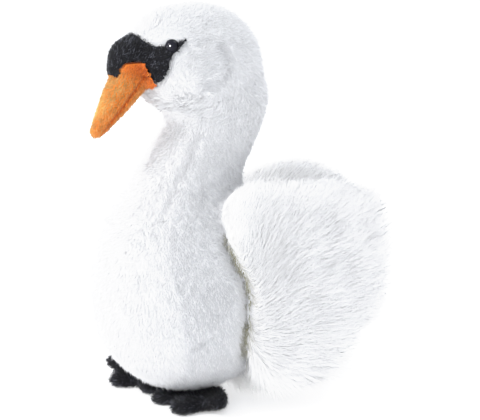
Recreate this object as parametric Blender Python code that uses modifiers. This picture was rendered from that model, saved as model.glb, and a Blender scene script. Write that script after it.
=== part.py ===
"""Plush toy mute swan, sitting. Head, neck and breast have short pile, and back, wings and tail long pile.

Run it with: blender --background --python part.py

Metres, +Z up. The swan looks along -Y, its left side is +X, and it sits on Z = 0. Every form reaches
out to the tips of its pile. The origin is at the middle of the bounding box's bottom.
"""

import math

import bmesh
import bpy
from mathutils import Matrix, Vector

# ---------------------------------------------------------------- driving dimensions, in metres
# Sizes are laid out from a point under the belly. settle() then moves the finished swan to its own origin.
GAP = 0.0003  # between neighbouring pieces
VOXEL = 0.003  # cell of the remesh that melts plush forms into one

# Breast and belly: one egg (centre, half width, up, down) under the neck.
BELLY_CENTRE = (0.0, -0.0400, 0.0680)
BELLY_RADIUS = 0.0625
BELLY_UP = 0.0860
BELLY_DOWN = 0.0630
# Neck: the stuffed tube's centre line (y, z) and its radius, from inside the breast to inside the head.
NECK_LINE = (
    (-0.0400, 0.1050, 0.0480),
    (-0.0395, 0.1250, 0.0440),
    (-0.0365, 0.1420, 0.0360),
    (-0.0300, 0.1580, 0.0308),
    (-0.0215, 0.1730, 0.0297),
    (-0.0150, 0.1880, 0.0310),
)
NECK_FOOT = Vector((0.0, -0.038, 0.138))  # the cut between breast and neck
NECK_PITCH = math.radians(14.0)
THROAT = Vector((0.0, -0.050, 0.187))  # the cut between neck and head runs from here to the nape
NAPE = Vector((0.0, 0.016, 0.172))

# Side outlines (y, z). The mask covers the knob and ends in a flick behind the eye. The face patch
# between mask and chin is orange and carries the bill. Both share the arched edge.
ARCH = (
    (-0.0935, 0.2062),
    (-0.0900, 0.2120),
    (-0.0885, 0.2180),
    (-0.0855, 0.2218),
    (-0.0750, 0.2222),
    (-0.0722, 0.2155),
    (-0.0690, 0.2105),
    (-0.0672, 0.2075),
)
MASK_OUTLINE = (
    (-0.1100, 0.2062),
    *ARCH,
    (-0.0648, 0.2110),
    (-0.0632, 0.2165),
    (-0.0630, 0.2225),
    (-0.0605, 0.2270),
    (-0.0550, 0.2320),
    (-0.0515, 0.2362),
    (-0.0585, 0.2340),
    (-0.0670, 0.2322),
    (-0.0705, 0.2326),
    (-0.0735, 0.2360),
    (-0.0755, 0.2395),
    (-0.0755, 0.2440),
    (-0.1100, 0.2440),
)
FACE_OUTLINE = (
    (-0.1100, 0.2062),
    *ARCH,
    (-0.0685, 0.2045),
    (-0.0740, 0.2020),
    (-0.1100, 0.2000),
)

# Bill: its axis runs from the root inside the face to the rounded tip.
BILL_ROOT = Vector((0.0, -0.0746, 0.2163))
BILL_TIP = Vector((0.0, -0.1037, 0.1757))
BILL_RADII = ((0.00, 0.0132), (0.25, 0.0121), (0.60, 0.0088), (0.86, 0.0057), (0.96, 0.0042), (1.00, 0.0020))
BILL_FLAT = 0.90  # width over height
MOUTH_ROOT = Vector((0.0, -0.0735, 0.2130))
MOUTH_TIP = Vector((0.0, -0.1010, 0.1760))

# Eyes: glossy domed buttons.
EYE_CENTRE = Vector((0.0228, -0.0590, 0.2332))
EYE_RADIUS = 0.0046

# Feet: webbed pads with three toes, measured from the heel. Each foot has its own lie.
FOOT_THICKNESS = 0.0100
INNER_TOE = -48.0  # heading outward in degrees. The middle toe's is 0 and the outer one's is its foot's
TOE_REACH = (0.0390, 0.0395, 0.0385)  # inner, middle, outer
TOE_RADIUS = 0.0095
SOLE_FLAT = 0.0008  # how much of the rounded underside is pressed flat
FOOT_LIE = {  # heel (x, y), then degrees: heading outward, roll outward, outer toe's heading and lift
    "left": ((0.0215, -0.0335), 26.0, 2.0, 47.0, 8.0),
    "right": ((-0.0360, -0.0390), -3.0, 2.0, 33.0, 12.0),
}

# Wings: long-pile pads that lean in at the top and draw together behind. They are soft, so the right
# one has settled further back, with its tip higher.
WING_PIVOT = Vector((0.0, 0.024, 0.090))
WING_SWEEP = math.radians(7.0)
WING_LEAN = math.radians(8.0)
WING_LIE = {  # root (x, y, z), then tip raised in degrees
    "left": (0.0468, 0.001, 0.000, 0.0),
    "right": (-0.0456, 0.025, -0.006, 19.0),
}

PILE_WHITE = (0.93, 0.93, 0.94, 1.0)
PILE_LONG = (0.95, 0.95, 0.96, 1.0)
PILE_BLACK = (0.012, 0.012, 0.014, 1.0)
PILE_ORANGE = (0.80, 0.25, 0.04, 1.0)
EYE_BLACK = (0.004, 0.004, 0.005, 1.0)


# ---------------------------------------------------------------- scene and helpers
def clear_scene():
    for obj in list(bpy.data.objects):
        bpy.data.objects.remove(obj)
    for name in ("plush_swan", "cutters"):
        collection = bpy.data.collections.new(name)
        bpy.context.scene.collection.children.link(collection)
    bpy.data.collections["cutters"].hide_render = True


def pile(name, colour, roughness):
    material = bpy.data.materials.new(name)
    material.use_nodes = True
    shader = material.node_tree.nodes["Principled BSDF"]
    shader.inputs["Base Color"].default_value = colour
    shader.inputs["Roughness"].default_value = roughness
    shader.inputs["Metallic"].default_value = 0.0
    return material


def new_object(name, mesh):
    """A working form. It is hidden from the build until keep() makes it a part."""
    obj = bpy.data.objects.new(name, mesh)
    obj.hide_render = True
    obj.display_type = "WIRE"
    bpy.data.collections["cutters"].objects.link(obj)
    return obj


def keep(form, name, material):
    """Turns a finished form into the named part."""
    bpy.data.collections["cutters"].objects.unlink(form)
    bpy.data.collections["plush_swan"].objects.link(form)
    form.name = name
    form.data.name = name
    form.hide_render = False
    form.display_type = "TEXTURED"
    form.data.materials.clear()
    form.data.materials.append(material)
    form.data.shade_smooth()
    form.data.set_sharp_from_angle(angle=math.radians(40.0))
    return form


def baked(obj):
    """The object's evaluated mesh, in world space, in place of the object and its modifiers."""
    depsgraph = bpy.context.evaluated_depsgraph_get()
    mesh = bpy.data.meshes.new_from_object(obj.evaluated_get(depsgraph))
    mesh.transform(obj.matrix_world)
    name = obj.name
    bpy.data.objects.remove(obj)
    work = bmesh.new()
    work.from_mesh(mesh)
    bmesh.ops.remove_doubles(work, verts=work.verts, dist=0.00001)
    work.to_mesh(mesh)
    work.free()
    return new_object(name, mesh)


def copied(form, name):
    return new_object(name, form.data.copy())


def grown(form, by=GAP):
    """A copy whose surface stands out by a small distance, to cut a neighbour with a gap left."""
    bigger = copied(form, form.name + "_grown")
    swell = bigger.modifiers.new("swell", "DISPLACE")
    swell.strength = by
    swell.mid_level = 0.0
    return baked(bigger)


def combined(form, other, operation):
    step = form.modifiers.new(operation.lower(), "BOOLEAN")
    step.operation = operation
    step.solver = "EXACT"
    step.object = other
    return baked(form)


def egg(name, centre, half_width, front, back, up, down, power=2.0, pitch=0.0, roll=0.0, rings=20):
    """A rounded form with its own reach in each direction. power 2 is an ellipsoid, and more is boxier."""
    mesh = bpy.data.meshes.new(name)
    work = bmesh.new()
    bmesh.ops.create_uvsphere(work, u_segments=rings * 2, v_segments=rings, radius=1.0)
    turn = Matrix.Rotation(pitch, 3, "X") @ Matrix.Rotation(roll, 3, "Y")
    for vertex in work.verts:
        x, y, z = (math.copysign(abs(c) ** (2.0 / power), c) for c in vertex.co)
        reach = Vector((x * half_width, y * (front if y < 0 else back), z * (up if z > 0 else down)))
        vertex.co = Vector(centre) + turn @ reach
    work.to_mesh(mesh)
    work.free()
    return new_object(name, mesh)


def tube(name, stations, width=1.0):
    """A stuffed tube along (y, z, radius) stations in the plane X = 0. width stretches it across."""
    curve = bpy.data.curves.new(name, "CURVE")
    curve.dimensions = "3D"
    curve.resolution_u = 3
    curve.bevel_depth = 1.0
    curve.bevel_resolution = 5
    curve.use_fill_caps = True
    curve.twist_mode = "Z_UP"
    spline = curve.splines.new("BEZIER")
    spline.radius_interpolation = "CARDINAL"
    spline.bezier_points.add(len(stations) - 1)
    for point, (y, z, radius) in zip(spline.bezier_points, stations):
        point.co = (0.0, y, z)
        point.radius = radius
        point.handle_left_type = point.handle_right_type = "AUTO"
    obj = new_object(name, curve)
    obj.scale.x = width
    bpy.context.view_layer.update()
    return baked(obj)


def melted(name, forms, faces, smoothing=6):
    """One soft skin round several overlapping forms, with about this many triangles."""
    work = bmesh.new()
    for form in forms:
        work.from_mesh(form.data)
        bpy.data.objects.remove(form)
    mesh = bpy.data.meshes.new(name)
    work.to_mesh(mesh)
    work.free()
    skin = new_object(name, mesh)
    remesh = skin.modifiers.new("melt", "REMESH")
    remesh.mode = "VOXEL"
    remesh.voxel_size = VOXEL
    smooth = skin.modifiers.new("smooth", "SMOOTH")
    smooth.factor = 0.5
    smooth.iterations = smoothing
    skin.modifiers.new("triangles", "TRIANGULATE")
    skin = one_body(baked(skin))
    thin_out = skin.modifiers.new("thin_out", "DECIMATE")
    thin_out.ratio = min(1.0, faces / len(skin.data.polygons))
    return baked(skin)


def sliced(form, name, point, normal):
    """A copy of a form's part on the side that the normal points away from, closed with a flat face."""
    piece = copied(form, name)
    work = bmesh.new()
    work.from_mesh(piece.data)
    everything = work.verts[:] + work.edges[:] + work.faces[:]
    cut = bmesh.ops.bisect_plane(work, geom=everything, plane_co=point, plane_no=normal, clear_outer=True)
    rim = [e for e in cut["geom_cut"] if isinstance(e, bmesh.types.BMEdge)]
    bmesh.ops.contextual_create(work, geom=rim)
    bmesh.ops.triangulate(work, faces=[f for f in work.faces if len(f.verts) > 4])
    bmesh.ops.recalc_face_normals(work, faces=work.faces)
    work.to_mesh(piece.data)
    work.free()
    return piece


def halves(form, names, point, normal):
    """Both sides of a thin flat cut: first the side that the normal points away from."""
    normal = normal.normalized()
    return (
        sliced(form, names[0], point - normal * GAP / 2, normal),
        sliced(form, names[1], point + normal * GAP / 2, -normal),
    )


def side_prism(name, outline, half_width):
    """A block across the body whose side view is the outline of (y, z) points."""
    curve = bpy.data.curves.new(name, "CURVE")
    curve.dimensions = "2D"
    curve.fill_mode = "BOTH"
    curve.extrude = half_width
    spline = curve.splines.new("POLY")
    spline.points.add(len(outline) - 1)
    for point, (y, z) in zip(spline.points, outline):
        point.co = (y, z, 0.0, 1.0)
    spline.use_cyclic_u = True
    obj = new_object(name, curve)
    obj.matrix_world = Matrix(((0, 0, 1, 0), (1, 0, 0, 0), (0, 1, 0, 0), (0, 0, 0, 1)))
    bpy.context.view_layer.update()
    return baked(obj)


def one_body(form):
    """Removes the crumbs that a cut leaves, keeping the largest connected piece."""
    work = bmesh.new()
    work.from_mesh(form.data)
    unseen = set(work.faces)
    pieces = []
    while unseen:
        piece = {unseen.pop()}
        edge_on = list(piece)
        while edge_on:
            for edge in edge_on.pop().edges:
                for face in edge.link_faces:
                    if face in unseen:
                        unseen.remove(face)
                        piece.add(face)
                        edge_on.append(face)
        pieces.append(piece)
    largest = max(pieces, key=lambda piece: sum(face.calc_area() for face in piece))
    crumbs = [face for piece in pieces if piece is not largest for face in piece]
    bmesh.ops.delete(work, geom=crumbs, context="FACES")
    work.to_mesh(form.data)
    work.free()
    return form


def less(form, *others):
    """The form with a gap's clearance cut round each other form."""
    for other in others:
        cutter = grown(other)
        form = combined(form, cutter, "DIFFERENCE")
        bpy.data.objects.remove(cutter)
    return one_body(form)


def on_floor(form):
    """Lowers or lifts a form until its underside is pressed flat on Z = 0."""
    lowest = min(vertex.co.z for vertex in form.data.vertices)
    form.data.transform(Matrix.Translation((0, 0, -lowest - SOLE_FLAT)))
    return pressed(form)


def pressed(form):
    """The form's part above Z = 0, with a flat underside."""
    flat = one_body(sliced(form, "pressed", Vector((0, 0, 0)), Vector((0, 0, -1))))
    name = form.name
    bpy.data.objects.remove(form)
    flat.name = name
    return flat


# ---------------------------------------------------------------- forms
def front_form():
    """Head, neck and breast as one stuffed form."""
    parts = [
        egg("belly", BELLY_CENTRE, *(BELLY_RADIUS,) * 3, BELLY_UP, BELLY_DOWN),
        tube("neck_tube", NECK_LINE),
        egg("nape", (0, -0.0160, 0.1950), *(0.0330,) * 5),
        egg("cranium", (0, -0.032, 0.2120), 0.0380, 0.040, 0.045, 0.0435, 0.028, pitch=math.radians(10)),
        egg("face", (0, -0.046, 0.2225), 0.0310, 0.033, 0.030, 0.0325, 0.022),
        egg("chin", (0, -0.050, 0.2065), 0.0185, 0.018, 0.020, 0.0160, 0.0125),
        egg("knob", (0, -0.0775, 0.2235), 0.0130, 0.0158, 0.018, 0.0140, 0.0170, pitch=math.radians(12)),
        egg("knob_lip", (0, -0.0840, 0.2148), 0.0125, 0.0095, 0.012, 0.0110, 0.0090),
    ]
    for side in (1, -1):
        parts.append(egg("cheek", (side * 0.0245, -0.040, 0.2115), 0.0170, 0.020, 0.018, 0.0185, 0.019))
    return melted("front_form", parts, 2700, smoothing=10)


def rear_form():
    """The long-pile rump behind the breast, flattened where it sits."""
    lean = math.radians(6)
    rump = egg("rump", (0, 0.012, 0.064), 0.053, 0.060, 0.078, 0.070, 0.064, power=2.2, pitch=lean)
    haunch = egg("haunch", (0, 0.012, 0.034), 0.046, 0.044, 0.064, 0.040, 0.0355, power=2.4)
    return pressed(melted("rear_form", [rump, haunch], 740))


def wing_form(tag, side):
    """A rounded pad, deep in front and cut away under its tip."""
    pad = egg(f"pad_{tag}", (0, 0.026, 0.094), 0.018, 0.060, 0.0635, 0.053, 0.058, power=2.5)
    fold = egg(f"fold_{tag}", (0, 0.006, 0.068), 0.018, 0.038, 0.056, 0.056, 0.057, power=2.4)
    shoulder = egg(f"shoulder_{tag}", (0, -0.012, 0.117), 0.016, 0.029, 0.040, 0.031, 0.040, power=2.4)
    wing = melted(f"wing_{tag}", [pad, fold, shoulder], 640, smoothing=4)
    *root, raised = WING_LIE[tag]
    wing.data.transform(
        Matrix.Translation(root)
        @ Matrix.Translation(WING_PIVOT)
        @ Matrix.Rotation(side * WING_SWEEP, 4, "Z")
        @ Matrix.Rotation(-side * WING_LEAN, 4, "Y")
        @ Matrix.Rotation(math.radians(raised), 4, "X")
        @ Matrix.Translation(-WING_PIVOT)
    )
    return wing


def tail_form():
    """A flat rounded leaf, rooted in the rump and cocked up."""
    cocked = math.radians(20)
    return egg("tail", (0, 0.084, 0.038), 0.028, 0.030, 0.032, 0.0165, 0.0165, pitch=cocked, rings=9)


def foot_form(tag, side):
    """A fan of three toes on a web, laid on the floor."""
    heel, *turns = FOOT_LIE[tag]
    heading, roll, outer_toe, outer_up = (math.radians(angle) for angle in turns)
    half = FOOT_THICKNESS / 2
    forms = [egg(f"heel_{tag}", (0, 0, 0), 0.013, 0.013, 0.011, half, half, power=2.6, rings=12)]
    toe_lies = ((math.radians(INNER_TOE), 0.0), (0.0, 0.0), (outer_toe, outer_up))
    for reach, (turn, raised) in zip(TOE_REACH, toe_lies):
        length = reach / 2
        toe = egg(f"toe_{tag}", (0, -length, 0), TOE_RADIUS, length, length, half, half, power=2.8, rings=12)
        toe.data.transform(Matrix.Rotation(side * turn, 4, "Z") @ Matrix.Rotation(-raised, 4, "X"))
        forms.append(toe)
    thin = half * 0.84
    forms.append(egg(f"web_{tag}", (0, -0.013, 0), 0.020, 0.015, 0.015, thin, thin, power=2.4, rings=12))
    foot = melted(f"foot_{tag}", forms, 340, smoothing=2)
    foot.data.transform(
        Matrix.Translation((*heel, 0))
        @ Matrix.Rotation(-side * roll, 4, "Y")
        @ Matrix.Rotation(side * heading, 4, "Z")
    )
    return on_floor(foot)


def horn_form():
    """The tapering bill without its face patch."""
    line = [(*BILL_ROOT.lerp(BILL_TIP, along).yz, radius) for along, radius in BILL_RADII]
    return tube("horn", line, BILL_FLAT)


# ---------------------------------------------------------------- sub-parts
def head_and_bill(front, materials):
    """Cuts mask and bill out of the front form, seats the eyes, and gives back what is left of it."""
    mask_block = side_prism("mask_block", MASK_OUTLINE, 0.05)
    face_block = side_prism("face_block", FACE_OUTLINE, 0.05)
    horn = horn_form()
    mask = one_body(combined(copied(front, "mask"), mask_block, "INTERSECT"))
    mask = less(mask, horn)
    patch = combined(copied(front, "patch"), face_block, "INTERSECT")
    bill = less(combined(copied(horn, "bill"), patch, "UNION"), mask_block)
    front = less(front, mask_block, face_block, horn)
    for side, tag in ((1, "left"), (-1, "right")):
        centre = (side * EYE_CENTRE.x, EYE_CENTRE.y, EYE_CENTRE.z)
        eye = egg(f"eye_{tag}", centre, *(EYE_RADIUS,) * 5, rings=7)
        mask = less(mask, eye)
        front = less(front, eye)
        keep(eye, f"eye_{tag}", materials["gloss"])
    mouth = (MOUTH_TIP - MOUTH_ROOT).cross(Vector((1, 0, 0)))
    upper, lower = halves(bill, ("bill_upper", "bill_lower"), MOUTH_ROOT, -mouth)
    keep(mask, "mask", materials["black"])
    keep(upper, "bill_upper", materials["orange"])
    keep(lower, "bill_lower", materials["orange"])
    return front


def main():
    clear_scene()
    materials = {
        "white": pile("short_white_pile", PILE_WHITE, 0.9),
        "long": pile("long_white_pile", PILE_LONG, 0.9),
        "black": pile("black_pile", PILE_BLACK, 0.9),
        "orange": pile("orange_pile", PILE_ORANGE, 0.85),
        "gloss": pile("eye_gloss", EYE_BLACK, 0.08),
    }
    front = front_form()
    rear = less(rear_form(), front)
    for side, tag in ((1, "left"), (-1, "right")):
        wing = less(wing_form(tag, side), front, rear)
        keep(wing, f"wing_{tag}", materials["long"])
        foot = less(foot_form(tag, side), front, rear)
        keep(foot, f"foot_{tag}", materials["black"])
    keep(less(tail_form(), rear), "tail", materials["long"])
    front = head_and_bill(front, materials)
    head_side = Vector((1, 0, 0)).cross(NAPE - THROAT)
    lower_front, head = halves(front, ("lower_front", "head"), THROAT, head_side)
    neck_side = Vector((0, math.sin(NECK_PITCH), math.cos(NECK_PITCH)))
    breast, neck = halves(lower_front, ("breast", "neck"), NECK_FOOT, neck_side)
    for form in (head, neck, breast):
        keep(form, form.name, materials["white"])
    keep(rear, "back", materials["long"])
    settle()


def settle():
    """Moves the swan along Y so that the middle of its length is at the origin."""
    parts = bpy.data.collections["plush_swan"].objects
    reach = [vertex.co.y for part in parts for vertex in part.data.vertices]
    for part in parts:
        part.data.transform(Matrix.Translation((0, -(min(reach) + max(reach)) / 2, 0)))


main()
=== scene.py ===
import math

import bmesh
import bpy
import numpy as np
from mathutils import Matrix, Vector
from mathutils.bvhtree import BVHTree
from mathutils.kdtree import KDTree


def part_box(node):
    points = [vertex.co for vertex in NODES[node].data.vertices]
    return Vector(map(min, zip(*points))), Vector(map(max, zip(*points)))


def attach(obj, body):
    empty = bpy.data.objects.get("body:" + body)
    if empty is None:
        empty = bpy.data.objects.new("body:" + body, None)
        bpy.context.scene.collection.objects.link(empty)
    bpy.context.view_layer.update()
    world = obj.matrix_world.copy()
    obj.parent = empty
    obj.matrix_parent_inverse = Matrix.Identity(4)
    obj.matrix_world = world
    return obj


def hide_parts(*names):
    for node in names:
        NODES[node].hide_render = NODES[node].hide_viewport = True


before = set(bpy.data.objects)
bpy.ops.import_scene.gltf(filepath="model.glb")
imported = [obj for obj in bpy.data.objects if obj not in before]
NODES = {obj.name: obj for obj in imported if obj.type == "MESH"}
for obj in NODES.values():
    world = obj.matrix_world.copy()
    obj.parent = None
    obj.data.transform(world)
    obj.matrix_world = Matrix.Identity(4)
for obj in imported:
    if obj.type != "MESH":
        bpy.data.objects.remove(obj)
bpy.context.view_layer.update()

bl_info = {
    "name": "Plush Swan Workshop",
    "version": (1, 0, 0),
    "blender": (4, 5, 0),
    "location": "3D Viewport > Sidebar > Plush Swan",
    "description": "Dresses a stuffed toy swan: skins, combed pile coats, button eyes and a pale table",
    "category": "Object",
}

MM = 0.001
SIDES = (("left", 1), ("right", -1))
WING_NODES = ("wing_left", "wing_right")
SHORT_NODES = ("head", "neck", "breast")
LONG_NODES = ("back", "tail", *WING_NODES)
BILL_NODES = ("bill_upper", "bill_lower")
EYE_NODES = ("eye_left", "eye_right")
CORE_NODES = (*SHORT_NODES, *LONG_NODES, "mask", *BILL_NODES, *EYE_NODES)

FLOOR_CLEARANCE = 0.2 * MM  # the lowest that any pile may hang
MERGED = 0.00001  # corners of a CAD node closer than this are one
WING_BORDER = 2.2 * MM  # how far behind breast and neck a wing's front edge counts as the fold
MIDDLE = (0.0, 0.0, 0.118)  # what the lights are turned to
VIEW_AIM = (0.0, -0.0039, 0.118)
VIEW_TURN = math.radians(60)  # from straight in front towards the swan's left
VIEW_RISE = math.radians(13)
VIEW_DISTANCE = 1.2


# -------------------- what a user can change
def length_property(name, description, millimetres):
    kind = {"min": 0.05 * MM, "subtype": "DISTANCE", "unit": "LENGTH"}
    return bpy.props.FloatProperty(name=name, description=description, default=millimetres * MM, **kind)


def colour_property(name, description, default):
    kind = {"size": 3, "min": 0.0, "max": 1.0, "subtype": "COLOR"}
    return bpy.props.FloatVectorProperty(name=name, description=description, default=default, **kind)


def angle_property(name, description, degrees):
    kind = {"subtype": "ANGLE", "unit": "ROTATION"}
    return bpy.props.FloatProperty(name=name, description=description, default=math.radians(degrees), **kind)


class SwanSizes(bpy.types.PropertyGroup):
    """Sizes of the skins and their pile."""

    cell: length_property("Skin cell", "Cell of the remesh that closes the sewn skin", 1.6)
    short_depth: length_property("Short coat depth", "How deep the skin lies under head, neck and breast", 1.4)
    long_depth: length_property("Long coat depth", "How deep the skin lies under wings, back and tail", 6.5)
    short_pile: length_property("Short pile", "Length of a tuft on head, neck and breast", 3.8)
    long_pile: length_property("Long pile", "Length of a lock on wings, back and tail", 17.0)
    black_pile: length_property("Black pile", "Length of a bristle on mask and feet", 2.3)
    orange_pile: length_property("Orange pile", "Length of a fibre on the bill", 1.9)
    short_rise: angle_property("Short rise", "How far short tufts stand up from the skin", 42)
    long_rise: angle_property("Long rise", "How far long locks stand up from the skin", 19)


class SwanColours(bpy.types.PropertyGroup):
    """Colours of the fabrics."""

    # Each pile's roots are darker than its tips: painted shade between the tufts.
    short_tip: colour_property("Short pile", "Tips of the short white pile", (0.80, 0.805, 0.82))
    short_root: colour_property("Short roots", "Roots of the short white pile", (0.78, 0.78, 0.78))
    # Partly the side panel's own cooler tone, partly painted shade on the side turned from the key light.
    side_panel_and_shade: colour_property("Side panel", "Short pile behind the seam", (0.65, 0.657, 0.675))
    long_tip: colour_property("Long pile", "Tips of the long white pile", (0.99, 0.99, 0.99))
    long_root: colour_property("Long roots", "Roots of the long white pile", (0.98, 0.975, 0.96))
    black: colour_property("Black pile", "Mask and feet", (0.009, 0.009, 0.012))
    orange: colour_property("Orange pile", "Tips of the bill's pile", (0.98, 0.46, 0.14))
    orange_root: colour_property("Orange roots", "Roots of the bill's pile", (0.82, 0.215, 0.03))


def sizes():
    return bpy.context.scene.swan_sizes


def colours():
    return bpy.context.scene.swan_colours


# -------------------- mesh helpers
def linked(name, data):
    """A new object in the scene with this mesh, lamp or camera."""
    obj = bpy.data.objects.new(name, data)
    bpy.context.scene.collection.objects.link(obj)
    return obj


def built(name, form):
    """A new object in the scene from a form in work, which is freed."""
    mesh = bpy.data.meshes.new(name)
    form.to_mesh(mesh)
    form.free()
    return linked(name, mesh)


def only_finish(mesh, finish):
    """Leaves the mesh with this one material."""
    mesh.materials.clear()
    mesh.materials.append(finish)


def plain(obj):
    """The object's evaluated mesh, in place of the object and its modifiers."""
    bpy.context.view_layer.update()
    depsgraph = bpy.context.evaluated_depsgraph_get()
    mesh = bpy.data.meshes.new_from_object(obj.evaluated_get(depsgraph), depsgraph=depsgraph)
    name = obj.name
    bpy.data.objects.remove(obj)
    mesh.name = name
    return linked(name, mesh)


def joined_nodes(name, nodes):
    """One mesh from copies of CAD nodes, each with its doubles merged."""
    work = bmesh.new()
    for node in nodes:
        work.from_mesh(NODES[node].data)
    bmesh.ops.remove_doubles(work, verts=work.verts, dist=MERGED)
    return built(name, work)


def remeshed(obj, cell, smoothing):
    """One closed, smoothed mesh round all that the object holds."""
    remesh = obj.modifiers.new("close", "REMESH")
    remesh.mode = "VOXEL"
    remesh.voxel_size = cell
    smooth = obj.modifiers.new("smooth", "SMOOTH")
    smooth.factor = 0.5
    smooth.iterations = smoothing
    return plain(obj)


def rows_of(items, field):
    """A field of three numbers of each item, as one row each."""
    values = np.empty(len(items) * 3, np.float32)
    items.foreach_get(field, values)
    return values.reshape(-1, 3).astype(float)


def points_of(mesh):
    return rows_of(mesh.vertices, "co")


def normals_of(mesh):
    return rows_of(mesh.vertex_normals, "vector")


def faces_of(mesh):
    """Middles and normals of the faces."""
    return rows_of(mesh.polygons, "center"), rows_of(mesh.polygons, "normal")


def move_points(mesh, co):
    mesh.vertices.foreach_set("co", co.astype(np.float32).ravel())
    mesh.update()


def evened(mesh, values, times):
    """Values at the vertices, each drawn halfway to the mean of its neighbours' a number of times."""
    ends = np.empty(len(mesh.edges) * 2, np.int32)
    mesh.edges.foreach_get("vertices", ends)
    a, b = ends[0::2], ends[1::2]
    count = np.bincount(ends, minlength=len(mesh.vertices)).astype(float)
    columns = np.array(values, float).reshape(len(mesh.vertices), -1)
    for _ in range(times):
        for k in range(columns.shape[1]):
            value = columns[:, k]
            near = np.bincount(a, value[b], len(value)) + np.bincount(b, value[a], len(value))
            columns[:, k] = value + 0.5 * (near / count - value)
    return columns if np.ndim(values) > 1 else columns[:, 0]


def drawn_in(obj, depth, steps):
    """Moves the skin inwards by each vertex's depth, in small smoothed steps."""
    mesh = obj.data
    for _ in range(steps):
        co = points_of(mesh) - normals_of(mesh) * (depth / steps)[:, None]
        move_points(mesh, evened(mesh, co, 1))


def set_attribute(mesh, name, values):
    """Keeps a number or a direction at each vertex under this name."""
    kind, field = ("FLOAT_VECTOR", "vector") if np.ndim(values) > 1 else ("FLOAT", "value")
    attribute = mesh.attributes.get(name) or mesh.attributes.new(name, kind, "POINT")
    attribute.data.foreach_set(field, np.asarray(values, np.float32).ravel())


def smooth_step(low, high, value):
    """Zero at low, one at high, with an even start and end."""
    t = np.clip((value - low) / (high - low), 0.0, 1.0)
    return t * t * (3 - 2 * t)


class Surroundings:
    """All the core's CAD nodes in one search tree, with the name of the node that each face is from."""

    def __init__(self):
        points, faces, self.owner = [], [], []
        for node in CORE_NODES:
            mesh = NODES[node].data
            start = len(points)
            points += [vertex.co.copy() for vertex in mesh.vertices]
            faces += [[start + corner for corner in face.vertices] for face in mesh.polygons]
            self.owner += [node] * len(mesh.polygons)
        self.tree = BVHTree.FromPolygons(points, faces)


class Places:
    """Points, each with the name of the CAD node nearest to it."""

    def __init__(self, co, around):
        self.co = co
        self.owner = np.array([around.owner[around.tree.find_nearest(Vector(p))[2]] for p in co])

    def on(self, *nodes):
        """True for the points nearest to one of these nodes."""
        return np.isin(self.owner, nodes)


def tree_of(obj):
    mesh = obj.data
    return BVHTree.FromPolygons([v.co for v in mesh.vertices], [p.vertices for p in mesh.polygons])


def covered(co, normals, tree, reach, start=0.3 * MM):
    """True for the points from which a straight way out along the normal meets the tree within reach."""
    ways = ((Vector(place) + Vector(out) * start, Vector(out)) for place, out in zip(co, normals))
    return np.array([tree.ray_cast(place, out, reach)[0] is not None for place, out in ways])


def near_line(co, line):
    """Distance of each point to a line through a few points."""
    best = np.full(len(co), 1e9)
    for a, b in zip(line[:-1], line[1:]):
        a, b = np.array(a), np.array(b)
        along = np.clip(((co - a) @ (b - a)) / ((b - a) @ (b - a)), 0, 1)
        best = np.minimum(best, np.linalg.norm(co - (a + along[:, None] * (b - a)), axis=1))
    return best


def unwrapped(obj):
    """Lays the skin's surface out flat on the map that its tufts take their places from."""
    obj.data.uv_layers.new(name="OFBake")
    bpy.context.view_layer.objects.active = obj
    for other in bpy.context.selected_objects:
        other.select_set(False)
    obj.select_set(True)
    bpy.ops.object.mode_set(mode="EDIT")
    bpy.ops.mesh.select_all(action="SELECT")
    bpy.ops.uv.smart_project(angle_limit=math.radians(66), island_margin=0.004)
    bpy.ops.object.mode_set(mode="OBJECT")
    return obj


# -------------------- nodes
def new_node(tree, kind, sockets, settings):
    """A node with its settings, and its inputs in use linked or set by name or place."""
    node = tree.nodes.new(kind)
    for key, value in settings.items():
        setattr(node, key, value)
    shown = [socket for socket in node.inputs if socket.enabled]
    for key, value in dict(sockets).items():
        socket = shown[key] if isinstance(key, int) else next(s for s in shown if s.name == key)
        if isinstance(value, bpy.types.NodeSocket):
            tree.links.new(value, socket)
        else:
            socket.default_value = value
    return node


def first_output(node):
    """The node's first output in use."""
    return next(socket for socket in node.outputs if socket.enabled)


COAT_INPUTS = (
    "Spacing", "Length", "Width", "Flatness", "Rise", "Rise spread", "Turn spread", "Curl", "Ruffle",
    "Ruffle scale", "Clump spacing", "Clump", "Softness", "Segments", "Floor", "Seed", "Finish",
)
OTHER_KINDS = {"Segments": "Int", "Seed": "Int", "Finish": "Material"}  # the rest are plain numbers
PATCH = 3 * MM  # side of a tuft's own patch on the OFBake map
VECTOR = "FLOAT_VECTOR"


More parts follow.
